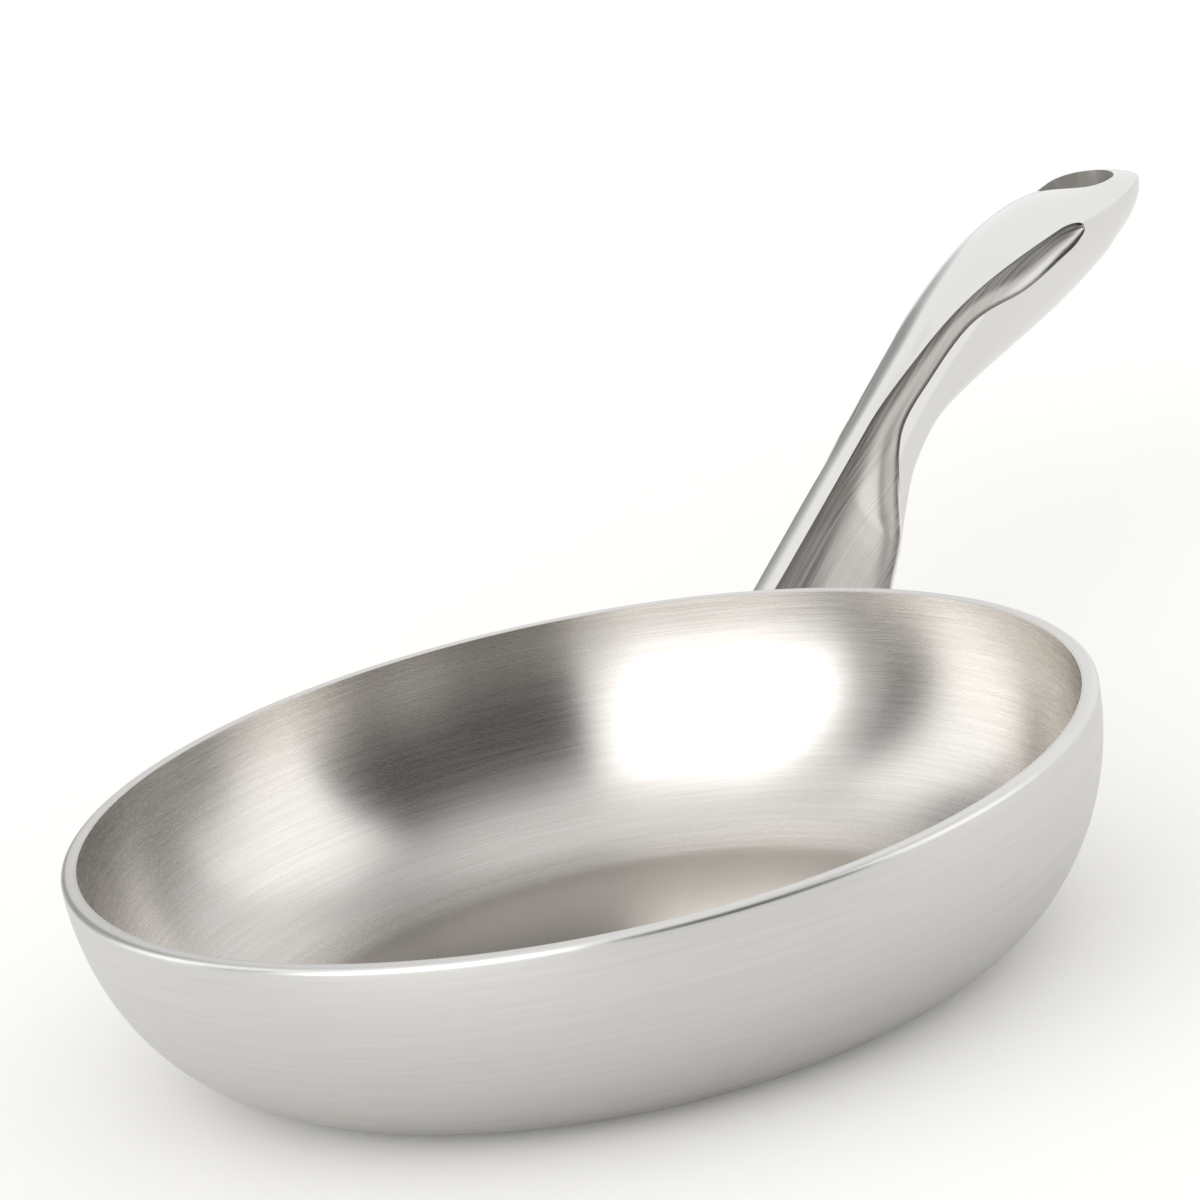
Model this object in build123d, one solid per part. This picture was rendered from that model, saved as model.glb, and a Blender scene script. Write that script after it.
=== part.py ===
"""A stainless omelette pan: a three-ply bowl with a hollow, sculpted, welded handle.

Millimetres, +Z up. The origin is the middle of the flat base, on its underside.
The handle runs along +X, and the XZ plane is its plane of symmetry.
"""

import os
from math import cos, degrees, radians, sin, sqrt, tan

from build123d import *

os.makedirs("parts", exist_ok=True)

# The bowl
rim_radius = 100.0
pan_height = 45.0
base_radius = 64.5
outer_ply_thickness = 0.6
core_thickness = 2.1
inner_ply_thickness = 0.5
rim_rounding = 1.2

# The handle, measured from the rim circle and from the rim plane
handle_length = 235.0
handle_rise = 22.8
root_depth = 30.0
root_half_width = 18.7
grip_belly = 12.2
nose_length = 19.0
handle_wall = 1.2

# The groove down each flank of the handle
groove_end_from_tip = 45.0
groove_depth = 5.0
groove_end_length = 12.0

# The hanging hole near the tip
hole_radius = 7.3
hole_from_tip = 17.6
hole_taper_length = 24.0

# The joint between the handle and the bowl
root_plate_thickness = 2.0
weld_leg = 1.2

# Any cutter reaches past what it cuts by this much
overrun = 5.0

# Stations of the handle from root to tip. Each row holds the place along handle_length,
# the top line as a share of handle_rise, the widest line as a share of root_depth, the half
# width as a share of root_half_width and the depth below the widest line as a share of
# grip_belly. The last three are the groove's: the angles of its upper and lower edge round
# the section, in degrees from the top, and its depth as a share of groove_depth.
handle_shares = [
    (-0.070, -0.25, -1.230, 1.070, 0.25, 7, 99, 0.90),
    (0.000, -0.11, -1.000, 1.000, 0.25, 7, 100, 0.90),
    (0.051, -0.01, -0.835, 0.920, 0.24, 8, 102, 0.90),
    (0.106, 0.10, -0.655, 0.830, 0.24, 9, 105, 0.90),
    (0.191, 0.27, -0.380, 0.690, 0.25, 11, 106, 0.80),
    (0.255, 0.39, -0.185, 0.550, 0.28, 13, 73, 0.60),
    (0.319, 0.51, 0.000, 0.450, 0.35, 16, 55, 0.40),
    (0.404, 0.67, 0.185, 0.440, 0.51, 26, 58, 0.32),
    (0.511, 0.87, 0.285, 0.480, 0.75, 39, 62, 0.30),
    (0.638, 1.00, 0.315, 0.500, 0.93, 54, 83, 0.38),
    (0.766, 0.95, 0.310, 0.520, 1.00, 62, 86, 0.42),
    (0.872, 0.76, 0.320, 0.565, 0.96, 64, 88, 0.42),
    (0.920, 0.69, 0.345, 0.580, 0.88, 64, 88, 0.42),
]
# How many sections the handle is lofted through, evenly spaced, as far as the groove's end,
# and where the end has come to at each of its own, from its start to its round tip
groove_sections = 22
groove_end_shares = (0, 0.35, 0.62, 0.82, 0.94, 1)
# The width that the closed groove's strip keeps, and how far in from the groove's edges the
# control points of its floor stand
closed_share = 0.3
side_share = 0.12
# The weld runs round the first sections of the root
root_sections = 8
nose_angles = (0, 22, 42, 58, 71, 81, 87)
nose_power = 2.3

lining_depth = outer_ply_thickness + core_thickness
body_thickness = lining_depth + inner_ply_thickness


def bowl(depth, top, rounding=0):
    """The bowl filled in solid up to top, inside the surface that lies depth within its outside."""
    run = rim_radius - base_radius - depth
    drop = pan_height - depth
    with BuildPart() as solid:
        with BuildSketch(Plane.XZ) as half:
            with BuildLine():
                floor = Line((0, depth), (base_radius, depth))
                wall = EllipticalCenterArc(
                    (base_radius, pan_height), run, drop, start_angle=270, arc_size=90
                )
                lift = Line(wall @ 1, (rim_radius - depth, pan_height + overrun))
                lid = Line(lift @ 1, (0, pan_height + overrun))
                Line(lid @ 1, floor @ 0)
            make_face()
            with Locations((0, top)):
                Rectangle(
                    rim_radius + overrun,
                    pan_height,
                    align=(Align.MIN, Align.MIN),
                    mode=Mode.SUBTRACT,
                )
            if rounding:
                fillet(half.vertices().group_by(Axis.Y)[-1].sort_by(Axis.X)[-1], rounding)
        revolve(axis=Axis.Z)
    return solid.part


def core_blank():
    """All that lies within the outer ply: its lip covers the core's edge at the rim."""
    lip_floor = pan_height - outer_ply_thickness
    return bowl(outer_ply_thickness, lip_floor, rim_rounding - outer_ply_thickness)


def outer_ply():
    """The drawn outer skin, its rim turned in over the core as far as the inner skin."""
    lining = bowl(lining_depth, pan_height + overrun)
    return bowl(0, pan_height, rim_rounding) - core_blank() - lining


def aluminium_core():
    """The heat-spreading layer, sealed between the two skins."""
    return core_blank() - bowl(lining_depth, pan_height + overrun)


def inner_ply():
    """The cooking surface."""
    return bowl(lining_depth, pan_height) - bowl(body_thickness, pan_height + overrun)


def sized(shares):
    """A row of the table in real sizes: x, height of the widest line, half width, crown, belly
    and then the groove's two angles and its depth."""
    along, top, widest, half_width, belly, upper, lower, depth = shares
    height = pan_height + widest * root_depth
    crown = pan_height + top * handle_rise - height
    x = rim_radius + along * handle_length
    width = half_width * root_half_width
    return x, height, width, crown, belly * grip_belly, upper, lower, depth * groove_depth


def row_at(x):
    """The values at x, on a smooth curve through the stations: between two of them it leaves
    and arrives at the slope that each one's own neighbours give it."""
    rows = [sized(shares) for shares in handle_shares]
    after = next((index for index, row in enumerate(rows) if row[0] > x), len(rows) - 1)
    before, following = rows[after - 1], rows[after]
    span = following[0] - before[0]
    share = (x - before[0]) / span
    ends = [rows[max(after - 2, 0)], rows[min(after + 1, len(rows) - 1)]]
    values = []
    for one, two, earlier, later in zip(before, following, *ends):
        leaving = (two - earlier) / (following[0] - ends[0][0]) * span
        arriving = (later - one) / (ends[1][0] - before[0]) * span
        rise = two - one
        bend = share * (1 - share) * ((leaving - rise) * (1 - share) - (arriving - rise) * share)
        values.append(one + rise * share + bend)
    return tuple(values)


def nose_rows():
    """The sections of the nose, which closes on a superellipse about its first one's middle."""
    x, height, half_width, crown, belly, *groove = sized(handle_shares[-1])
    middle = (crown - belly) / 2
    rows = []
    for angle in nose_angles:
        reach = sin(radians(angle)) ** (2 / nose_power)
        size = cos(radians(angle)) ** (2 / nose_power)
        centre = height + middle * (1 - size)
        place = rim_radius + handle_length - nose_length * (1 - reach)
        rows.append((place, centre, half_width * size, crown * size, belly * size, *groove))
    return rows


def egg_point(row, angle, inset):
    """The point at an angle from the top, on an egg of half an ellipse over half of another,
    and the direction there, both in the section's own plane."""
    half_width, crown, belly = (size - inset for size in row[2:5])
    turn = radians(angle)
    rise = crown if angle < 90 else belly
    point = Vector(half_width * sin(turn), rise * cos(turn))
    return point, Vector(half_width * cos(turn), -rise * sin(turn))


def egg_controls(row, start, end, inset):
    """The four control points of the egg's outline from one angle to another."""
    first, leaving = egg_point(row, start, inset)
    last, arriving = egg_point(row, end, inset)
    reach = 4 / 3 * tan(radians(end - start) / 4)
    return [first, first + leaving * reach, last - arriving * reach, last]


def half_section(row, opening, inset):
    """Half of the handle's section at a row, on the +Y side: crown, groove, belly and a line.

    opening is 1 along the groove and falls to 0 at its end, where the groove's strip has
    become part of the egg. inset draws every face in, the groove's too.
    """
    x, height, upper, lower, depth = row[0], row[1], *row[5:]
    middle, half = (upper + lower) / 2, (lower - upper) / 2
    half *= max(opening, closed_share)
    edges = []
    for angle, way in ((middle - half, -1), (middle + half, 1)):
        speed = egg_point(row, angle, inset)[1].length
        edges.append(angle + way * opening * degrees(inset / speed))
    start, end = edges
    top_edge = egg_point(row, middle - half, 0)[0]
    low_edge = egg_point(row, middle + half, 0)[0]
    chord = low_edge - top_edge
    inward = Vector(chord.Y, -chord.X).normalized() * (depth * 4 / 3 + inset)
    groove = egg_controls(row, start, end, inset)
    floor = (top_edge + chord * side_share + inward, low_edge - chord * side_share + inward)
    groove[1] += (floor[0] - groove[1]) * opening
    groove[2] += (floor[1] - groove[2]) * opening
    turn = (end + 180) / 2
    plane = Plane(origin=(x, 0, height), x_dir=(0, 1, 0), z_dir=(1, 0, 0))
    curves = [
        Bezier(*egg_controls(row, 0, start, inset)),
        Bezier(*groove),
        Bezier(*egg_controls(row, end, turn, inset)),
        Bezier(*egg_controls(row, turn, 180, inset)),
    ]
    curves.append(Line(curves[-1] @ 1, curves[0] @ 0))
    return plane * Face(Wire([curve.edge() for curve in curves]))


def grooved_rows():
    """The evenly spaced sections from the root to where the groove's end starts, and that place."""
    root = sized(handle_shares[0])[0]
    start = rim_radius + handle_length - groove_end_from_tip - groove_end_length
    step = (start - root) / groove_sections
    return [row_at(root + step * index) for index in range(groove_sections)], start


def half_handle(inset):
    """The +Y half of the handle, filled in solid, with every face drawn in by inset.

    It is lofted in four runs that meet at flat sections: along the groove, over its end, from
    there to the nose, and over the nose.
    """
    rows, start = grooved_rows()
    along = [half_section(row, 1, inset) for row in rows]
    reach = groove_end_length + inset
    closing = []
    for share in groove_end_shares:
        row = row_at(start + share * reach)
        closing.append(half_section(row, sqrt(1 - share**2), inset))
    rows = [sized(shares) for shares in handle_shares[:-1]]
    beyond = [half_section(row, 0, inset) for row in rows if row[0] > start + reach]
    nose = [half_section(row, 0, inset) for row in nose_rows() if min(row[2:5]) > 2 * inset]
    runs = [along + closing[:1], closing, closing[-1:] + beyond + nose[:1], nose]
    first, *others = (loft(run, clean=False) for run in runs)
    return first.fuse(*others).clean()


def hanging_hole(growth):
    """The teardrop through the tip, its point towards the bowl."""
    x = rim_radius + handle_length - hole_from_tip
    half = hole_radius + growth
    point = (x - hole_taper_length - growth, 0)
    with BuildPart() as cutter:
        with BuildSketch():
            with BuildLine():
                nose = CenterArc((x, 0), half, -90, 180)
                upper = TangentArc(nose @ 1, point, tangent=(-1, 0))
                lower = TangentArc(nose @ 0, point, tangent=(-1, 0))
            make_face()
        extrude(amount=pan_height + handle_rise + overrun)
    return cutter.part


def left_shell():
    """The pressed half on the +Y side of the plane of symmetry, where the two halves meet."""
    void = half_handle(handle_wall) - hanging_hole(handle_wall)
    return half_handle(0) - hanging_hole(0) - void - bowl(0, pan_height)


def root_plate():
    """The plate that closes the hollow root and lies against the bowl."""
    half = half_handle(handle_wall) & bowl(-root_plate_thickness, pan_height)
    return both_sides(half - bowl(0, pan_height))


def root_weld():
    """The bead that runs round the root where it meets the bowl, as high as it is wide."""
    rows = grooved_rows()[0][:root_sections]
    collar, root = (
        loft([half_section(row, 1, inset) for row in rows], clean=False)
        for inset in (-weld_leg, 0)
    )
    return both_sides((collar & bowl(-weld_leg, pan_height)) - bowl(0, pan_height) - root)


def both_sides(half):
    """A half and its mirror image across the plane of symmetry, joined."""
    return half + mirror(half, about=Plane.XZ)


shell = left_shell()
nodes = {
    "inner_ply": inner_ply(),
    "aluminium_core": aluminium_core(),
    "outer_ply": outer_ply(),
    "handle_left_shell": shell,
    "handle_right_shell": mirror(shell, about=Plane.XZ),
    "handle_root_plate": root_plate(),
    "root_weld": root_weld(),
}
for name, solid in nodes.items():
    export_step(solid, f"parts/{name}.step")
    print(name, len(solid.solids()), "solid", round(solid.volume), "mm3")
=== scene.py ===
"""An omelette pan in satin-brushed and mirror-polished stainless steel, on a pale sweep.

Metres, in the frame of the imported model: the base rests on z = 0 and the handle runs along +X.
"""

import bmesh
import bpy
import numpy as np
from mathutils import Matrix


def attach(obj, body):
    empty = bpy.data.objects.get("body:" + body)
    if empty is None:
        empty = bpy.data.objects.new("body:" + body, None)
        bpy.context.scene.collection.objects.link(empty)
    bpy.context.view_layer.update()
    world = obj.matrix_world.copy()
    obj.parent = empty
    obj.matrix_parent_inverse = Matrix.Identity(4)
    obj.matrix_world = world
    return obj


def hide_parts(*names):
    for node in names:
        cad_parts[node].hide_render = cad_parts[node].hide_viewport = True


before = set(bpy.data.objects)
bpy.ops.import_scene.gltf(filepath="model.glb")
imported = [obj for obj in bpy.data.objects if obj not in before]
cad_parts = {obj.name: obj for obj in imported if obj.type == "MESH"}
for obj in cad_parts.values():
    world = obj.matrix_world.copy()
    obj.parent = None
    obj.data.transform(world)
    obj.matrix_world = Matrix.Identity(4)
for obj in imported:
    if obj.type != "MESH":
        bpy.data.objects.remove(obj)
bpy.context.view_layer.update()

# The bowl: its circles, its height and its three layers, as depths within its outside
RIM_RADIUS = 0.100
RIM_HEIGHT = 0.045
BASE_RADIUS = 0.0645
OUTER_SKIN = 0.0006
LINING_DEPTH = 0.0027
BODY_THICKNESS = 0.0032
RIM_ROUNDING = 0.0012

# The handle, from the rim circle and the rim plane, with its groove and its hanging hole
HANDLE_LENGTH = 0.235
HANDLE_RISE = 0.0228
ROOT_DEPTH = 0.030
ROOT_HALF_WIDTH = 0.0187
GRIP_BELLY = 0.0122
NOSE_LENGTH = 0.019
NOSE_POWER = 2.3
HANDLE_WALL = 0.0012
GROOVE_END_FROM_TIP = 0.045
GROOVE_END_LENGTH = 0.012
GROOVE_DEPTH = 0.005
SIDE_SHARE = 0.12
HOLE_RADIUS = 0.0073
HOLE_FROM_TIP = 0.0176
HOLE_TAPER = 0.024

# Places along the x axis
TIP = RIM_RADIUS + HANDLE_LENGTH
GROOVE_END = TIP - GROOVE_END_FROM_TIP
GROOVE_CLOSING = GROOVE_END - GROOVE_END_LENGTH
HOLE_MIDDLE = TIP - HOLE_FROM_TIP

# Stations from root to tip: the place along the handle, the top line as a share of its rise,
# the widest line of the root's depth, the half width, the belly, the angles of the groove's
# upper and lower edge from the section's top, in degrees, and the groove's depth
STATIONS = np.array([
    (-0.070, -0.25, -1.230, 1.070, 0.25, 7, 99, 0.90),
    (0.000, -0.11, -1.000, 1.000, 0.25, 7, 100, 0.90),
    (0.051, -0.01, -0.835, 0.920, 0.24, 8, 102, 0.90),
    (0.106, 0.10, -0.655, 0.830, 0.24, 9, 105, 0.90),
    (0.191, 0.27, -0.380, 0.690, 0.25, 11, 106, 0.80),
    (0.255, 0.39, -0.185, 0.550, 0.28, 13, 73, 0.60),
    (0.319, 0.51, 0.000, 0.450, 0.35, 16, 55, 0.40),
    (0.404, 0.67, 0.185, 0.440, 0.51, 26, 58, 0.32),
    (0.511, 0.87, 0.285, 0.480, 0.75, 39, 62, 0.30),
    (0.638, 1.00, 0.315, 0.500, 0.93, 54, 83, 0.38),
    (0.766, 0.95, 0.310, 0.520, 1.00, 62, 86, 0.42),
    (0.872, 0.76, 0.320, 0.565, 0.96, 64, 88, 0.42),
    (0.920, 0.69, 0.345, 0.580, 0.88, 64, 88, 0.42),
])

# A new piece stays this much within the solid that it replaces
FIT = 0.00001
# Points of a cut mesh that lie nearer together than this are one point
MERGE = 0.000001

# How finely the bowl is divided: round it, up its wall, across its flat and over its lip
ROUND_STEPS = 360
WALL_STEPS = 48
FLAT_STEPS = 12
LIP_STEPS = 10
# How finely the handle is: the distance between its sections, and the points of a section's
# crown, groove and belly, for its outside and for its hollow, which nobody sees
OUTSIDE_STEP, OUTSIDE_COUNTS = 0.0012, (30, 36, 44)
HOLLOW_STEP, HOLLOW_COUNTS = 0.004, (14, 16, 18)
GROOVE_END_SECTIONS = 24
NOSE_SECTIONS = 26
# The nose's last section, in radians of its quarter turn, so that a small flat closes it
NOSE_TURN = 1.52
# The least share of its width that a closed groove's points keep, so that none coincide
CLOSED_SHARE = 0.1
# Past this many degrees between two faces an edge is sharp, on a made form and on a cut one
FORM_CORNER, CUT_CORNER = 30.0, 40.0

# The solids that are cut away stand between these heights, and the bowl is filled up to here
CUTTER_LOW, CUTTER_HIGH = 0.02, 0.09
FILLED_TOP = 0.06
FILLED_STEPS = 180
HOLE_STEPS = 40
# How far the hole's two arcs go on past the middle plane: radians, and a share of the arc
PAST_PLANE, PAST_POINT = -0.3, 1.05

# Where the photograph, a square of PHOTO_SIDE pixels, shows the rim's middle, and its size there
PHOTO_SIDE = 1200
RIM_PIXEL = (577.6, 770.6)
RIM_RADIUS_PIXELS = 528.9
CAMERA_DISTANCE = 2.0
SENSOR_WIDTH = 36.0
# The handle's bearing from the line of sight, the camera's height and its roll, in degrees
HANDLE_BEARING = 24.46
CAMERA_ELEVATION = 17.91
CAMERA_ROLL = 11.70

# The panels that the steel reflects: bearing, half width, low edge, high edge, softness, level
PANELS = [
    (32, 26, -20, 42, 6, 0.35),  # a grey card at the back: the right end of the bowl's wall
    (265, 75, 50, 68, 8, 0.60),  # a dim strip high on the right: the foot of its left part
    (265, 21, -20, 54, 4, 1.5),  # a lamp on the right: the pale band in its left part
    (106, 6, -20, 52, 3, 0.80),  # two narrow flags on the left, the second one dark: the
    (92, 6, -20, 42, 3, 0.20),  # streaks to the right of the hot spot
    (66, 13, -20, 52, 4, 1.5),  # a lamp on the left: the pale band to the right of these
    (143, 30, -20, 66, 3, 1.5),  # a broad lamp beside the camera, and
    (138, 26, 4, 56, 8, 3.2),  # its bright middle: the hot spot
    (209, 33, -20, 54, 3, 0.04),  # the dark round the camera: the dark patch
]

# The floor: how far it reaches, and how much brighter than its light the camera sees it
SWEEP_REACH = 12.0
SWEEP_GLOW = 0.14


def linear(code):
    """The linear colour, with alpha, of an sRGB hex code, by the curve of that standard."""
    channels = np.array([int(code[i : i + 2], 16) for i in (1, 3, 5)]) / 255
    low = channels / 12.92
    high = ((channels + 0.055) / 1.055) ** 2.4
    return (*np.where(channels <= 0.04045, low, high), 1.0)


def add(tree, kind, links=(), **settings):
    """Adds one node to the tree, sets its properties and sockets and links its inputs.

    A setting named as a property sets it, and any other names an input, with spaces for
    underscores, or gives an input's number as in_0. links holds pairs of an input and the
    output that feeds it, where a node stands for its first output.
    """
    made = tree.nodes.new(kind)
    for name, value in settings.items():
        if name.startswith("in_"):
            made.inputs[int(name[3:])].default_value = value
        elif hasattr(made, name):
            setattr(made, name, value)
        else:
            made.inputs[name.replace("_", " ")].default_value = value
    for socket, source in links:
        output = source.outputs[0] if isinstance(source, bpy.types.Node) else source
        tree.links.new(output, made.inputs[socket])
    return made


def empty_tree(owner):
    """The node tree of a new material or world, with nothing in it."""
    owner.use_nodes = True
    owner.node_tree.nodes.clear()
    return owner.node_tree


def camera():
    """The camera, at the photograph's angle.

    It looks at the rim's middle from CAMERA_DISTANCE, is rolled about the line of sight, and is
    then turned about its own place, by the shortest way that takes the middle of the picture to
    the rim's pixel. Its rows are the picture's right, down and away.
    """
    bearing, elevation, roll = np.radians([HANDLE_BEARING, CAMERA_ELEVATION, CAMERA_ROLL])
    away = np.array([np.cos(bearing) * np.cos(elevation), np.sin(bearing) * np.cos(elevation),
                     -np.sin(elevation)])
    right = np.array([np.sin(bearing), -np.cos(bearing), 0.0])
    up = np.cross(right, away)
    rows = np.array([np.cos(roll) * right - np.sin(roll) * up,
                     -np.sin(roll) * right - np.cos(roll) * up, away])
    focal = RIM_RADIUS_PIXELS * CAMERA_DISTANCE / RIM_RADIUS
    sight = np.array([RIM_PIXEL[0] - PHOTO_SIDE / 2, RIM_PIXEL[1] - PHOTO_SIDE / 2, focal])
    sight /= np.linalg.norm(sight)
    turn = np.array([[0, 0, sight[0]], [0, 0, sight[1]], [-sight[0], -sight[1], 0]])
    rows = (np.eye(3) + turn + turn @ turn / (1 + sight[2])) @ rows
    place = np.eye(4)
    place[:3, :3] = np.array([rows[0], -rows[1], -rows[2]]).T
    place[:3, 3] = np.array([0, 0, RIM_HEIGHT]) - CAMERA_DISTANCE * away
    data = bpy.data.cameras.new("camera")
    data.sensor_width = SENSOR_WIDTH
    data.lens = focal / PHOTO_SIDE * SENSOR_WIDTH
    made = bpy.data.objects.new("camera", data)
    made.matrix_world = place.T.tolist()
    bpy.context.scene.collection.objects.link(made)
    bpy.context.scene.camera = made


def studio(panels):
    """The room: a plain pale light, and in reflections the panels that stand round the pan.

    Bearings count from the line of sight, to the left, and all of a panel's values but its
    level are in degrees. The room's own level is 1, and a panel's is what it shines with, from
    black flags near 0 to lamps over 1.
    """
    world = bpy.data.worlds.new("studio")
    bpy.context.scene.world = world
    tree = empty_tree(world)
    direction = add(tree, "ShaderNodeTexCoord").outputs["Generated"]
    height = add(tree, "ShaderNodeSeparateXYZ", links=[(0, direction)]).outputs["Z"]
    flat = add(tree, "ShaderNodeVectorMath", operation="MULTIPLY", in_1=(1, 1, 0),
               links=[(0, direction)])
    unit = add(tree, "ShaderNodeVectorMath", operation="NORMALIZE", links=[(0, flat)])
    level = add(tree, "ShaderNodeValue")
    level.outputs[0].default_value = 1.0
    for bearing, half_width, low, high, softness, shine in panels:
        turn = np.radians(HANDLE_BEARING + bearing)
        along = add(tree, "ShaderNodeVectorMath", operation="DOT_PRODUCT",
                    in_1=(np.cos(turn), np.sin(turn), 0), links=[(0, unit)])
        # Each share is smooth between two places, and ends at 0 or at the one before it
        low_start, low_end, high_start, high_end = np.sin(np.radians(
            [low - softness, low + softness, high - softness, high + softness]))
        outer, inner = np.cos(np.radians(
            [half_width + softness, max(half_width - softness, 0)]))
        above = add(tree, "ShaderNodeMapRange", interpolation_type="SMOOTHSTEP",
                    in_1=low_start, in_2=low_end, links=[(0, height)])
        below = add(tree, "ShaderNodeMapRange", interpolation_type="SMOOTHSTEP",
                    in_1=high_start, in_2=high_end, in_4=0.0, links=[(0, height), (3, above)])
        share = add(tree, "ShaderNodeMapRange", interpolation_type="SMOOTHSTEP",
                    in_1=outer, in_2=inner, links=[(0, along.outputs["Value"]), (4, below)])
        level = add(tree, "ShaderNodeMix", data_type="FLOAT", in_3=shine,
                    links=[(0, share), (2, level)])
    path = add(tree, "ShaderNodeLightPath")
    seen = add(tree, "ShaderNodeMix", data_type="FLOAT", in_2=1.0,
               links=[(0, path.outputs["Is Glossy Ray"]), (3, level)])
    lit = add(tree, "ShaderNodeBackground", Color=linear("#FFFFFF"), links=[("Strength", seen)])
    add(tree, "ShaderNodeOutputWorld", links=[("Surface", lit)])


def sweep():
    """A pale paper floor that reaches well past the camera, matt and very slightly warm.

    The camera sees a little light added to it, so that it meets the white behind it while the
    pan's shadow stays.
    """
    side = SWEEP_REACH
    mesh = bpy.data.meshes.new("sweep")
    mesh.from_pydata([(-side, -side, 0), (side, -side, 0), (side, side, 0), (-side, side, 0)],
                     [], [(0, 1, 2, 3)])
    made = bpy.data.objects.new("sweep", mesh)
    bpy.context.scene.collection.objects.link(made)
    material = bpy.data.materials.new("matt_white_sweep")
    tree = empty_tree(material)
    path = add(tree, "ShaderNodeLightPath")
    matt = add(tree, "ShaderNodeBsdfDiffuse", Color=linear("#F2F1EF"))
    glow = add(tree, "ShaderNodeEmission", Color=linear("#FFFFFF"), Strength=SWEEP_GLOW)
    lift = add(tree, "ShaderNodeAddShader", links=[(0, matt), (1, glow)])
    pick = add(tree, "ShaderNodeMixShader",
               links=[(0, path.outputs["Is Camera Ray"]), (1, matt), (2, lift)])
    add(tree, "ShaderNodeOutputMaterial", links=[("Surface", pick)])
    mesh.materials.append(material)


def smooth(made, corner):
    """Smooth shading, broken where two faces meet at more than corner degrees."""
    made.data.polygons.foreach_set("use_smooth", np.ones(len(made.data.polygons), bool))
    made.data.set_sharp_from_angle(angle=np.radians(corner))


def new_piece(name, points, faces):
    """An object at the origin with these points and faces, smooth but for its sharp corners."""
    mesh = bpy.data.meshes.new(name)
    mesh.from_pydata(points.reshape(-1, 3).tolist(), [], faces)
    mesh.update()
    made = bpy.data.objects.new(name, mesh)
    bpy.context.scene.collection.objects.link(made)
    smooth(made, FORM_CORNER)
    return made


def turned(name, profile, steps=ROUND_STEPS):
    """A body of revolution: the profile's (radius, height) pairs, from the axis out and back
    to it, carried round the z axis. Point i, j is radius i times the unit vector of angle j,
    at height i, and each end on the axis is a single point. The angles stand half a step off
    the x axis, so that no edge lies in the handle's middle plane."""
    profile = np.array(profile)
    profile[:, 0] = np.maximum(profile[:, 0] - FIT, 0)
    angle = (np.arange(steps) + 0.5) * 2 * np.pi / steps
    ring = np.stack([np.cos(angle), np.sin(angle)], -1)
    rings = profile[1:-1]
    points = np.empty((len(rings), steps, 3))
    points[..., :2] = rings[:, None, :1] * ring
    points[..., 2] = rings[:, None, 1]
    poles = [(0, 0, profile[0, 1]), (0, 0, profile[-1, 1])]
    points = np.concatenate([points.reshape(-1, 3), poles])
    i, j = np.meshgrid(np.arange(len(rings) - 1), np.arange(steps), indexing="ij")
    k = (j + 1) % steps
    quads = np.stack([i * steps + j, i * steps + k, (i + 1) * steps + k, (i + 1) * steps + j], -1)
    faces = quads.reshape(-1, 4).tolist()
    last = (len(rings) - 1) * steps
    first_pole, last_pole = len(points) - 2, len(points) - 1
    faces += [(first_pole, (j + 1) % steps, j) for j in range(steps)]
    faces += [(last_pole, last + j, last + (j + 1) % steps) for j in range(steps)]
    return new_piece(name, points, faces)


def wall_line(depth, top):
    """The bowl's line that lies depth within its outside, from the axis out and up to top: flat
    as far as the base reaches, then a quarter of an ellipse that stands upright at the rim."""
    run, drop = RIM_RADIUS - BASE_RADIUS - depth, RIM_HEIGHT - depth
    turn = np.linspace(0, np.arccos((RIM_HEIGHT - top) / drop), WALL_STEPS)
    flat = [(radius, depth) for radius in np.linspace(0, BASE_RADIUS, FLAT_STEPS)[:-1]]
    arc = np.stack([BASE_RADIUS + run * np.sin(turn), RIM_HEIGHT - drop * np.cos(turn)], -1)
    return flat + arc.tolist()


def bowl_skins():
    """The two steel skins. Each is its outside line, its edge at the rim and its inside line
    back to the axis, turned round. The outer one's edge is rounded over and turned in."""
    cooking_line = wall_line(BODY_THICKNESS, RIM_HEIGHT)
    back_line = wall_line(LINING_DEPTH, RIM_HEIGHT)
    inner = turned("inner_skin", back_line + cooking_line[::-1])
    turn = np.linspace(0, np.pi / 2, LIP_STEPS)
    ring = np.stack([np.cos(turn), np.sin(turn)], -1)
    middle = np.array([RIM_RADIUS - RIM_ROUNDING, RIM_HEIGHT - RIM_ROUNDING])
    corner = (middle + RIM_ROUNDING * ring).tolist()
    lining = (middle + (RIM_ROUNDING - OUTER_SKIN) * ring).tolist()
    lip = [(RIM_RADIUS - LINING_DEPTH, RIM_HEIGHT),
           (RIM_RADIUS - LINING_DEPTH, RIM_HEIGHT - OUTER_SKIN)]
    outside = wall_line(0, RIM_HEIGHT - RIM_ROUNDING)
    inside = wall_line(OUTER_SKIN, RIM_HEIGHT - RIM_ROUNDING)
    outer = turned("outer_skin", outside + corner[1:] + lip + lining[:0:-1] + inside[::-1])
    return inner, outer


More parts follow.
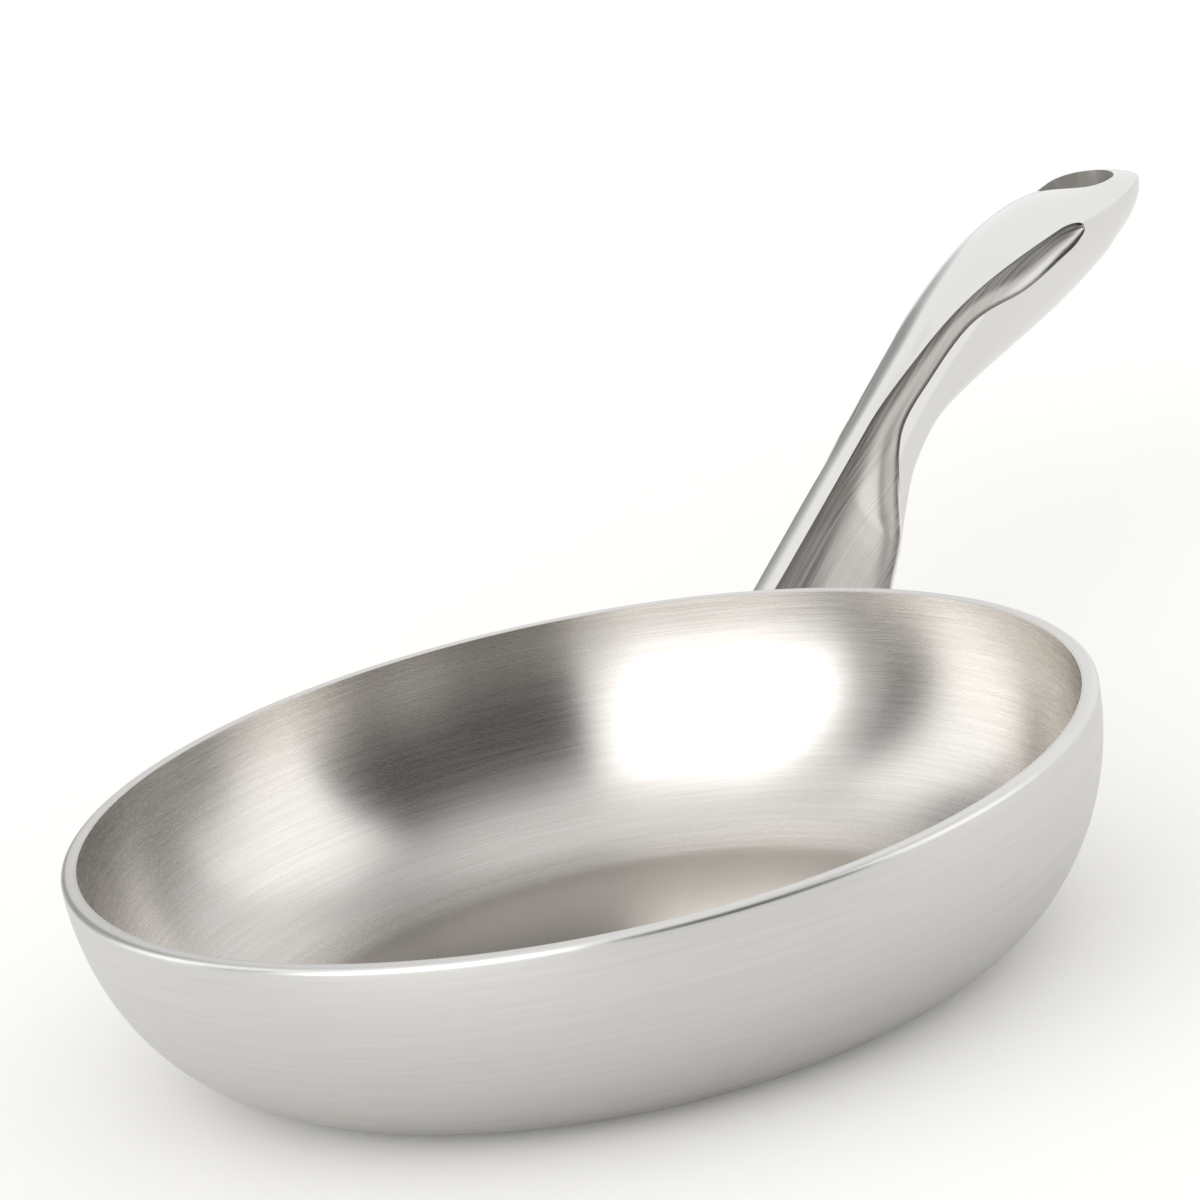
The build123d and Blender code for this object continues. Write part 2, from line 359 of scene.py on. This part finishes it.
def rows_at(x):
    """The handle's values at each x, on a smooth curve through the stations: the height of the
    widest line, the half width, crown and belly, the groove's two angles and its depth.

    Between two stations the curve is a cubic whose slope at each is that of the line between
    the stations on its two sides. Past the last station the nose closes: every size follows its
    own last slope, times the height of a superellipse whose width is the nose's length.
    """
    along, top, widest, half_width, belly, upper, lower, depth = STATIONS.T
    height = RIM_HEIGHT + widest * ROOT_DEPTH
    crown = RIM_HEIGHT + top * HANDLE_RISE - height
    place = RIM_RADIUS + along * HANDLE_LENGTH
    table = np.stack([height, half_width * ROOT_HALF_WIDTH, crown, belly * GRIP_BELLY, upper,
                      lower, depth * GROOVE_DEPTH], -1)
    last = len(place) - 1
    i = np.clip(np.searchsorted(place, x, side="right") - 1, 0, last - 1)
    low, high = np.maximum(i - 1, 0), np.minimum(i + 2, last)
    span = (place[i + 1] - place[i])[:, None]
    s = (x - place[i])[:, None] / span
    rise = table[i + 1] - table[i]
    leaving = (table[i + 1] - table[low]) / (place[i + 1] - place[low])[:, None] * span
    arriving = (table[high] - table[i]) / (place[high] - place[i])[:, None] * span
    bend = (leaving - rise) * (1 - s) - (arriving - rise) * s
    curved = table[i] + rise * s + s * (1 - s) * bend
    slope = (table[last] - table[last - 1]) / (place[last] - place[last - 1])
    past = np.clip(x - place[last], 0, NOSE_LENGTH)
    straight = table[last] + slope * past[:, None]
    rows = np.where((x > place[last])[:, None], straight, curved)
    size = (1 - (past / NOSE_LENGTH) ** NOSE_POWER) ** (1 / NOSE_POWER)
    rows[:, 0] += (rows[:, 2] - rows[:, 3]) / 2 * (1 - size)
    rows[:, 1:4] *= size[:, None]
    return rows


def half_sections(x, inset, counts):
    """The left half of the handle's sections at each x, drawn in by inset, and the groove's
    share and the way round at each point.

    A section is half an egg: across it goes the half width times the sine of an angle from the
    top, and up it goes the crown, or past 90 degrees the belly, times the cosine. Between its
    two edges a groove, a cubic curve whose two inner points lie 4/3 of its depth inside the
    chord, takes the egg's place. At its end the groove's width and depth fall as a quarter
    circle does. The share is 0 above the groove, rises to 1 across it and is 1 below it.
    """
    height, half_width, crown, belly, upper, lower, depth = rows_at(x).T
    closed = np.clip((x - GROOVE_CLOSING) / (GROOVE_END_LENGTH + inset), 0, 1)
    opening = np.sqrt(1 - closed**2)
    half = (lower - upper) / 2 * np.maximum(opening, CLOSED_SHARE)
    middle = (lower + upper) / 2

    def egg(angle, drawn_in):
        """Points of the eggs, for a row of angles in degrees for each section."""
        turn = np.radians(angle)
        sizes = [size[:, None] - drawn_in for size in (half_width, crown, belly)]
        rise = np.where(turn < np.pi / 2, sizes[1], sizes[2])
        return np.stack([sizes[0] * np.sin(turn), rise * np.cos(turn)], -1)

    def edge(angle, way):
        """The angle of a groove's edge, moved out of the groove by inset on the egg."""
        point = egg(np.stack([angle, angle + 1], -1), inset)
        degree = np.linalg.norm(point[:, 1] - point[:, 0], axis=-1)
        return angle + way * opening * inset / np.maximum(degree, FIT)

    top, low = edge(middle - half, -1), edge(middle + half, 1)
    outer = egg(np.stack([middle - half, middle + half], -1), 0)
    chord = outer[:, 1] - outer[:, 0]
    across = np.stack([chord[:, 1], -chord[:, 0]], -1)
    across /= np.linalg.norm(across, axis=-1, keepdims=True)
    inward = across * (depth * opening * 4 / 3 + inset)[:, None]
    ends = egg(np.stack([top, low], -1), inset)
    floor = np.stack([outer[:, 0] + chord * SIDE_SHARE, outer[:, 1] - chord * SIDE_SHARE], 1)
    floor += inward[:, None]
    crown_share, groove_share, belly_share = (np.linspace(0, 1, count) for count in counts)
    t = groove_share[None, :, None]
    groove = ((1 - t) ** 3 * ends[:, :1] + 3 * (1 - t) ** 2 * t * floor[:, :1]
              + 3 * (1 - t) * t**2 * floor[:, 1:] + t**3 * ends[:, 1:])
    crown_points = egg(top[:, None] * crown_share, inset)
    belly_points = egg(low[:, None] + (180 - low[:, None]) * belly_share, inset)
    section = np.concatenate([crown_points[:, :-1], groove, belly_points[:, 1:]], 1)
    points = np.empty((*section.shape[:2], 3))
    points[..., 0] = x[:, None]
    points[..., 1] = section[..., 0]
    points[..., 2] = height[:, None] + section[..., 1]
    share = np.concatenate([np.zeros(counts[0] - 1), groove_share, np.ones(counts[2] - 1)])
    steps = np.linalg.norm(np.diff(points, axis=1), axis=-1)
    way = np.concatenate([np.zeros((len(x), 1)), np.cumsum(steps, axis=1)], 1)
    return points, np.broadcast_to(share, way.shape), way


def handle_form(name, inset, step, counts, whole=False):
    """The handle filled in solid, drawn in by inset: a grid of sections, closed by a flat face
    at the root and one at the nose, and for a half by the plane where the two halves meet.

    A half gets two maps: "way" holds x and the distance round the section, in metres, and
    "groove" the groove's share. A whole form has no points in the middle plane, and starts a
    little before the root, so that it cuts cleanly.
    """
    start = RIM_RADIUS + STATIONS[0, 0] * HANDLE_LENGTH
    nose = RIM_RADIUS + STATIONS[-1, 0] * HANDLE_LENGTH
    along = np.arange(start - inset / 2, GROOVE_CLOSING, step)
    turn = np.linspace(0, np.pi / 2, GROOVE_END_SECTIONS)
    closing = GROOVE_CLOSING + (GROOVE_END_LENGTH + inset) * np.sin(turn)
    beyond = np.arange(closing[-1] + step / 2, nose, step)
    turn = np.linspace(0, NOSE_TURN, NOSE_SECTIONS)
    rounding = nose + (TIP - nose) * np.sin(turn)
    x = np.concatenate([along, closing, beyond, rounding])
    x = x[rows_at(x)[:, 1:4].min(1) > 2 * inset]
    points, share, way = half_sections(x, inset, counts)
    if whole:
        side = points[:, 1:-1]
        points = np.concatenate([side, side[:, ::-1] * (1, -1, 1)], 1)
    rows, columns = points.shape[:2]
    i, j = np.meshgrid(np.arange(rows - 1), np.arange(columns), indexing="ij")
    k = (j + 1) % columns
    quads = np.stack([i * columns + j, (i + 1) * columns + j, (i + 1) * columns + k,
                      i * columns + k], -1)
    faces = quads.reshape(-1, 4).tolist()
    faces.append(tuple(range(columns)))
    faces.append(tuple(range((rows - 1) * columns, rows * columns))[::-1])
    made = new_piece(name, points, faces)
    if not whole:
        corner = np.empty(len(made.data.loops), int)
        made.data.loops.foreach_get("vertex_index", corner)
        for label, values in (("way", (points[..., 0], way)), ("groove", (share, share))):
            pairs = np.stack(values, -1).reshape(-1, 2)
            layer = made.data.uv_layers.new(name=label)
            layer.data.foreach_set("uv", pairs[corner].ravel())
    return made


def hole_cutter(growth):
    """The upright prism through the left half of the tip: an arc round the hole's end, and an
    arc that leaves it lengthways and reaches the middle plane at the point. Both go on a little
    past that plane, and the prism closes behind it."""
    radius, taper = HOLE_RADIUS + growth, HOLE_TAPER + growth
    turn = np.linspace(PAST_PLANE, np.pi / 2, HOLE_STEPS)
    end = np.stack([HOLE_MIDDLE + radius * np.cos(turn), radius * np.sin(turn)], -1)
    flank = (taper**2 + radius**2) / (2 * radius)
    bend = np.linspace(0, PAST_POINT * np.arcsin(taper / flank), HOLE_STEPS)[1:]
    side = np.stack([HOLE_MIDDLE - flank * np.sin(bend),
                     radius - flank * (1 - np.cos(bend))], -1)
    line = np.concatenate([end, side])
    n = len(line)
    levels = [np.column_stack([line, np.full(n, z)]) for z in (CUTTER_LOW, CUTTER_HIGH)]
    faces = [(i, (i + 1) % n, n + (i + 1) % n, n + i) for i in range(n)]
    faces += [tuple(range(n))[::-1], tuple(range(n, 2 * n))]
    return new_piece("hole_cutter", np.concatenate(levels), faces)


def cut(piece, *cutters):
    """Takes the cutters out of the piece, one after the other, and leaves its mesh finished."""
    for cutter in cutters:
        change = piece.modifiers.new("cut", "BOOLEAN")
        change.operation = "DIFFERENCE"
        change.solver = "EXACT"
        change.object = cutter
    graph = bpy.context.evaluated_depsgraph_get()
    finished = bpy.data.meshes.new_from_object(piece.evaluated_get(graph))
    piece.modifiers.clear()
    piece.data = finished


def in_triangles(mesh, name):
    """The mesh in triangles, its coincident points merged and the slivers of cuts taken out."""
    form = bmesh.new()
    form.from_mesh(mesh)
    bmesh.ops.remove_doubles(form, verts=form.verts, dist=MERGE)
    bmesh.ops.dissolve_degenerate(form, edges=form.edges, dist=MERGE)
    bmesh.ops.triangulate(form, faces=form.faces)
    bmesh.ops.dissolve_degenerate(form, edges=form.edges, dist=MERGE)
    made = bpy.data.meshes.new(name)
    form.to_mesh(made)
    form.free()
    return made


def mirror_image(piece, name):
    """The piece's mirror image across the handle's middle plane, its faces pointing outwards."""
    mesh = piece.data.copy()
    points = np.empty((len(mesh.vertices), 3))
    mesh.vertices.foreach_get("co", points.ravel())
    mesh.vertices.foreach_set("co", (points * (1, -1, 1)).ravel())
    mesh.flip_normals()
    made = bpy.data.objects.new(name, mesh)
    bpy.context.scene.collection.objects.link(made)
    return made


def handle_halves():
    """The two pressed halves of the hollow handle: the outer form less the bowl, the hanging
    hole and the hollow. The hollow keeps the wall's thickness from every face and the hole."""
    hollow = handle_form("hollow", HANDLE_WALL, HOLLOW_STEP, HOLLOW_COUNTS, whole=True)
    grown_hole = hole_cutter(HANDLE_WALL)
    cut(hollow, grown_hole)
    filled = wall_line(0, RIM_HEIGHT) + [(RIM_RADIUS, FILLED_TOP), (0, FILLED_TOP)]
    bowl, hole = turned("bowl_filled", filled, FILLED_STEPS), hole_cutter(0)
    left = handle_form("left_handle_half", 2 * FIT, OUTSIDE_STEP, OUTSIDE_COUNTS)
    cut(left, bowl, hole, hollow)
    left.data = in_triangles(left.data, "left_handle_half")
    right = mirror_image(left, "right_handle_half")
    for half in (left, right):
        smooth(half, CUT_CORNER)
    for cutter in (hollow, grown_hole, bowl, hole):
        bpy.data.objects.remove(cutter)
    return left, right


def finish_hole(half, material):
    """Gives the hanging hole's wall a finish of its own: the faces that stand upright, to a
    hundredth, within the hole's reach, and off the plane where the two halves meet."""
    half.data.materials.append(material)
    count = len(half.data.polygons)
    middle, normal = np.empty((count, 3)), np.empty((count, 3))
    half.data.polygons.foreach_get("center", middle.ravel())
    half.data.polygons.foreach_get("normal", normal.ravel())
    x, y = middle[:, 0], abs(middle[:, 1])
    wall = (x > HOLE_MIDDLE - HOLE_TAPER) & (x < HOLE_MIDDLE + HOLE_RADIUS)
    wall &= (y > FIT) & (y < HOLE_RADIUS) & (abs(normal[:, 2]) < 0.01)
    half.data.polygons.foreach_set("material_index", wall.astype(int))


def brushed(name, light, dark, flat_colour, roughness, flat_roughness, anisotropy, line_depth):
    """Stainless steel brushed in circles about the bowl's axis, the flat with its own grit.

    The pattern's place is the unit direction from the axis, and the way along the profile,
    radius plus height: so its lines run round without a seam and never cross. The shader's
    tangent runs round, and a quarter turn makes the light spread across the lines.
    """
    material = bpy.data.materials.new(name)
    tree = empty_tree(material)
    place = add(tree, "ShaderNodeTexCoord").outputs["Object"]
    height = add(tree, "ShaderNodeSeparateXYZ", links=[(0, place)]).outputs["Z"]
    flat = add(tree, "ShaderNodeVectorMath", operation="MULTIPLY", in_1=(1, 1, 0),
               links=[(0, place)])
    unit = add(tree, "ShaderNodeVectorMath", operation="NORMALIZE", links=[(0, flat)])
    radius = add(tree, "ShaderNodeVectorMath", operation="LENGTH",
                 links=[(0, flat)]).outputs["Value"]
    way = add(tree, "ShaderNodeMath", operation="ADD", links=[(0, radius), (1, height)])

    # Three sorts of lines, each a noise stretched round the bowl: its features in a turn, the
    # metres between lines and its detail. The real lines are about 0.05 mm apart, too fine to
    # show, so they are drawn 0.35 mm apart. The broad ones, 1.2 mm apart, are the belt's own
    # unevenness, and the few scratches lie about 0.6 mm apart where they crowd.
    sorts = []
    for around, spacing, detail in ((4.0, 0.00035, 2.0), (2.4, 0.0012, 3.0), (4.0, 0.0006, 0.0)):
        across = add(tree, "ShaderNodeMath", operation="MULTIPLY", in_1=1 / spacing,
                     links=[(0, way)])
        along = add(tree, "ShaderNodeVectorMath", operation="SCALE", Scale=around,
                    links=[(0, unit)])
        parts = add(tree, "ShaderNodeSeparateXYZ", links=[(0, along)])
        where = add(tree, "ShaderNodeCombineXYZ", links=[
            (0, parts.outputs["X"]), (1, parts.outputs["Y"]), (2, across)])
        sorts.append(add(tree, "ShaderNodeTexNoise", Scale=1.0, Detail=detail, Roughness=0.6,
                         links=[("Vector", where)]))
    fine, broad, sparse = sorts

    # Only the noise's peaks are scratches, and they are six times as deep as the lines
    scratch = add(tree, "ShaderNodeMapRange", interpolation_type="SMOOTHSTEP", in_1=0.66,
                  in_2=0.72, links=[(0, sparse)])
    depth = add(tree, "ShaderNodeMath", operation="MULTIPLY_ADD", in_1=6.0,
                links=[(0, scratch), (2, fine)])
    bump = add(tree, "ShaderNodeBump", Strength=1.0, Distance=line_depth,
               links=[("Height", depth)])

    # The colour wanders a little with the broad lines, and the flat has one of its own
    shade = add(tree, "ShaderNodeMapRange", in_1=0.35, in_2=0.65, links=[(0, broad)])
    wall = add(tree, "ShaderNodeMix", data_type="RGBA", in_6=linear(dark), in_7=linear(light),
               links=[(0, shade)])
    off_flat = add(tree, "ShaderNodeMapRange", interpolation_type="SMOOTHSTEP",
                   in_1=BASE_RADIUS - 0.004, in_2=BASE_RADIUS + 0.004, links=[(0, radius)])
    tint = add(tree, "ShaderNodeMix", data_type="RGBA", in_6=linear(flat_colour),
               links=[(0, off_flat), (7, wall.outputs[2])])

    # So has the roughness, which the fine lines vary by a tenth. Both change over a few
    # millimetres where the wall begins
    grit = add(tree, "ShaderNodeMapRange", interpolation_type="SMOOTHSTEP",
               in_1=BASE_RADIUS - 0.002, in_2=BASE_RADIUS + 0.004, in_3=flat_roughness,
               in_4=roughness, links=[(0, radius)])
    spread = add(tree, "ShaderNodeMapRange", in_1=0.3, in_2=0.7, in_3=0.9, in_4=1.1,
                 links=[(0, fine)])
    rough = add(tree, "ShaderNodeMath", operation="MULTIPLY", links=[(0, grit), (1, spread)])
    circle = add(tree, "ShaderNodeTangent", direction_type="RADIAL", axis="Z")
    shader = add(tree, "ShaderNodeBsdfPrincipled", Metallic=1.0, Anisotropic=anisotropy,
                 Anisotropic_Rotation=0.25,
                 links=[("Base Color", tint.outputs[2]), ("Roughness", rough),
                        ("Normal", bump), ("Tangent", circle)])
    add(tree, "ShaderNodeOutputMaterial", links=[("Surface", shader)])
    return material


def streaked(name, colour, metallic, low, high, scale, detail):
    """A plain metal whose roughness goes from low to high with one noise.

    scale holds the noise's features in a metre, along x, y and z.
    """
    material = bpy.data.materials.new(name)
    tree = empty_tree(material)
    place = add(tree, "ShaderNodeTexCoord").outputs["Object"]
    stretch = add(tree, "ShaderNodeVectorMath", operation="MULTIPLY", in_1=scale,
                  links=[(0, place)])
    marks = add(tree, "ShaderNodeTexNoise", Scale=1.0, Detail=detail,
                links=[("Vector", stretch)])
    rough = add(tree, "ShaderNodeMapRange", in_1=0.3, in_2=0.7, in_3=low, in_4=high,
                links=[(0, marks)])
    shader = add(tree, "ShaderNodeBsdfPrincipled", Metallic=metallic, Base_Color=linear(colour),
                 links=[("Roughness", rough)])
    add(tree, "ShaderNodeOutputMaterial", links=[("Surface", shader)])
    return material


def grooved(name, colour, middle, dark, painted_grip_shade, roughness, groove_roughness):
    """The handle's stainless steel, buffed to a mirror outside the groove.

    The groove is rougher than the buffed outside. Its colours are painted shade and painted
    reflection: across the groove, on its own map, the colour goes from the outside's through
    a painted shadow under the upper edge to a painted middle grey on the floor and a thin
    painted dark line along the lower edge. Towards the grip the groove narrows and its lower
    bank turns bright again, where the painted shade lifts.
    """
    material = bpy.data.materials.new(name)
    tree = empty_tree(material)
    across = add(tree, "ShaderNodeUVMap", uv_map="groove")
    way = add(tree, "ShaderNodeUVMap", uv_map="way")
    # The wheel's lines, 50 mm long. The real ones are too fine to show, so these are 0.7 mm apart
    # Streaks 50 mm long and 0.7 mm apart that break up the groove's painted shade and painted
    # reflection; the wheel's real lines are too fine to show
    stretch = add(tree, "ShaderNodeVectorMath", operation="MULTIPLY",
                  in_1=(1 / 0.05, 1 / 0.0007, 0), links=[(0, way)])
    made = {
        "across": add(tree, "ShaderNodeSeparateXYZ", links=[(0, across)]),
        "x": add(tree, "ShaderNodeSeparateXYZ", links=[(0, way)]),
        "streak": add(tree, "ShaderNodeTexNoise", Scale=1.0, Detail=3.0,
                      links=[("Vector", stretch)]),
    }
    # Each row is a smooth way from one value to another, between two places of a third. Places
    # are shares across the groove, from its upper edge, or x in metres, and a name stands for
    # what an earlier row gives.
    for label, source, low, high, start, end in (
        ("before_end", "x", GROOVE_END - 0.0005, GROOVE_END, 1.0, 0.0),
        ("above_lower_edge", "across", 0.95, 0.99, "before_end", 0.0),
        ("inside", "across", 0.01, 0.05, 0.0, "above_lower_edge"),
        ("grip", "x", 0.225, 0.262, 0.0, 1.0),
        ("near_end", "x", 0.255, 0.275, 0.0, 1.0),
        # a painted dark line along the lower edge, near the groove's end
        ("end_line", "across", 0.84, 0.93, 0.0, "near_end"),
        ("before_grip", "grip", 0.0, 0.5, 1.0, 0.0),
        # a painted dark line along the lower edge, from the root towards the grip
        ("root_line", "across", 0.86, 0.95, 0.0, "before_grip"),
        ("off_end_line", "end_line", 0.0, 0.6, "grip", 0.0),
        # where the lower bank keeps the outside's colour in the grip, free of painted shade
        ("bright_bank", "across", 0.60, 0.80, 0.0, "off_end_line"),
        # the share of the groove whose colour is painted shade and painted reflection
        ("painted_groove", "bright_bank", 0.0, 1.0, "inside", 0.0),
        # painted streaks that break up the painted shade and painted reflection
        ("grain", "streak", 0.3, 0.7, 0.80, 1.0),
        ("rough", "inside", 0.0, 1.0, roughness, groove_roughness),
    ):
        links = [(0, made[source])]
        links += [(i, made[value]) for i, value in ((3, start), (4, end)) if value in made]
        plain = {f"in_{i}": value for i, value in ((3, start), (4, end)) if value not in made}
        made[label] = add(tree, "ShaderNodeMapRange", interpolation_type="SMOOTHSTEP",
                          in_1=low, in_2=high, links=links, **plain)

    # The upper bank's shadow reaches a fifth of the groove further down in the grip
    lowered = add(tree, "ShaderNodeMath", operation="MULTIPLY_ADD", in_1=-0.2,
                  links=[(0, made["grip"]), (2, made["across"])])
    bank = add(tree, "ShaderNodeMapRange", interpolation_type="SMOOTHSTEP", in_1=0.30,
               in_2=0.50, in_3=1.0, in_4=0.0, links=[(0, lowered)])
    line = add(tree, "ShaderNodeMath", operation="MAXIMUM",
               links=[(0, made["end_line"]), (1, made["root_line"])])
    shadow = add(tree, "ShaderNodeMath", operation="MAXIMUM", links=[(0, bank), (1, line)])
    shadow_share = add(tree, "ShaderNodeMath", operation="MULTIPLY",
                       links=[(0, shadow), (1, made["grain"])])
    groove_share = add(tree, "ShaderNodeMath", operation="MULTIPLY",
                       links=[(0, made["painted_groove"]), (1, made["grain"])])
    # Painted shade under the upper bank, darker still in the grip
    painted_bank_shade = add(tree, "ShaderNodeMix", data_type="RGBA", in_6=linear(dark), in_7=linear(painted_grip_shade),
               links=[(0, made["grip"])])
    # The floor's painted middle grey, darkened where the painted shadow lies
    tone = add(tree, "ShaderNodeMix", data_type="RGBA", in_6=linear(middle),
               links=[(0, shadow_share), (7, painted_bank_shade.outputs[2])])
    # The outside's colour gives way to the painted groove tones inside the groove
    tint = add(tree, "ShaderNodeMix", data_type="RGBA", in_6=linear(colour),
               links=[(0, groove_share), (7, tone.outputs[2])])
    shader = add(tree, "ShaderNodeBsdfPrincipled", Metallic=1.0,
                 links=[("Base Color", tint.outputs[2]), ("Roughness", made["rough"])])
    add(tree, "ShaderNodeOutputMaterial", links=[("Surface", shader)])
    return material


camera()
bpy.context.scene.view_settings.view_transform = "Standard"
studio(PANELS)
sweep()

# Stainless steel satin-brushed by a belt that runs round the outside: pale grey with a soft
# sheen, and no clear reflection
satin = brushed(
    "satin_brushed_stainless", light="#E1E0DE", dark="#DCDBD8", flat_colour="#DCDBD8",
    roughness=0.36, flat_roughness=0.36, anisotropy=0.5, line_depth=0.0000005)
# Stainless steel brushed in rings with a finer grit: the light and the dark of the room stand
# in bands that fan out from the middle, and the flat is nearly a mirror
cooking = brushed(
    "ring_brushed_stainless", light="#D8D5D1", dark="#D1CDC8", flat_colour="#BDB8B2",
    roughness=0.27, flat_roughness=0.12, anisotropy=0.9, line_depth=0.0000003)
# Stainless steel buffed with a soft wheel: a clear reflection, with a haze in patches about
# 12 mm wide where the wheel wandered
mirror = streaked("mirror_polished_stainless", "#E0DEDB", 1.0, 0.07, 0.13,
                  (1 / 0.012, 1 / 0.012, 1 / 0.012), 3.0)
# Stainless steel pressed and then buffed: a mirror outside, which takes the white of the room,
# and rougher in the groove, whose middle grey and darks are painted shade and painted reflection
handle_finish = grooved(
    "buffed_handle_stainless", colour="#E4E3E1", middle="#B8B4AE", dark="#6B6763",
    painted_grip_shade="#4A4845", roughness=0.10, groove_roughness=0.24)
# Stainless steel turned in by the press and left as it came: matt, with upright drag marks,
# 0.4 mm apart and 7 mm long
hole_finish = streaked("pressed_hole_wall", "#C6C4C0", 0.85, 0.38, 0.52, (2500, 2500, 150), 2.0)
# Aluminium sheet as it leaves the rolling mill: pale and dull, with fine lines along the way it
# was rolled, drawn 0.8 mm apart so that they show
core_finish = streaked("rolled_aluminium", "#D3D3D4", 1.0, 0.34, 0.46,
                       (1 / 0.04, 1 / 0.0008, 1 / 0.0008), 2.0)

finishes = {
    "inner_ply": cooking,
    "aluminium_core": core_finish,
    "outer_ply": satin,
    "handle_left_shell": mirror,
    "handle_right_shell": mirror,
    "handle_root_plate": mirror,
    "root_weld": mirror,
}
for node, finish in finishes.items():
    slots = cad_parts[node].data.materials
    slots.clear()
    slots.append(finish)

inner_skin, outer_skin = bowl_skins()
left_half, right_half = handle_halves()
pieces = [
    (inner_skin, "inner_ply", "inner_steel", cooking),
    (outer_skin, "outer_ply", "outer_steel", satin),
    (left_half, "handle_left_shell", "handle_steel", handle_finish),
    (right_half, "handle_right_shell", "handle_steel", handle_finish),
]
for piece, node, slot, finish in pieces:
    piece.data.materials.clear()
    piece.data.materials.append(finish)
    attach(piece, "root")
    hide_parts(node)
for half in (left_half, right_half):
    finish_hole(half, hole_finish)
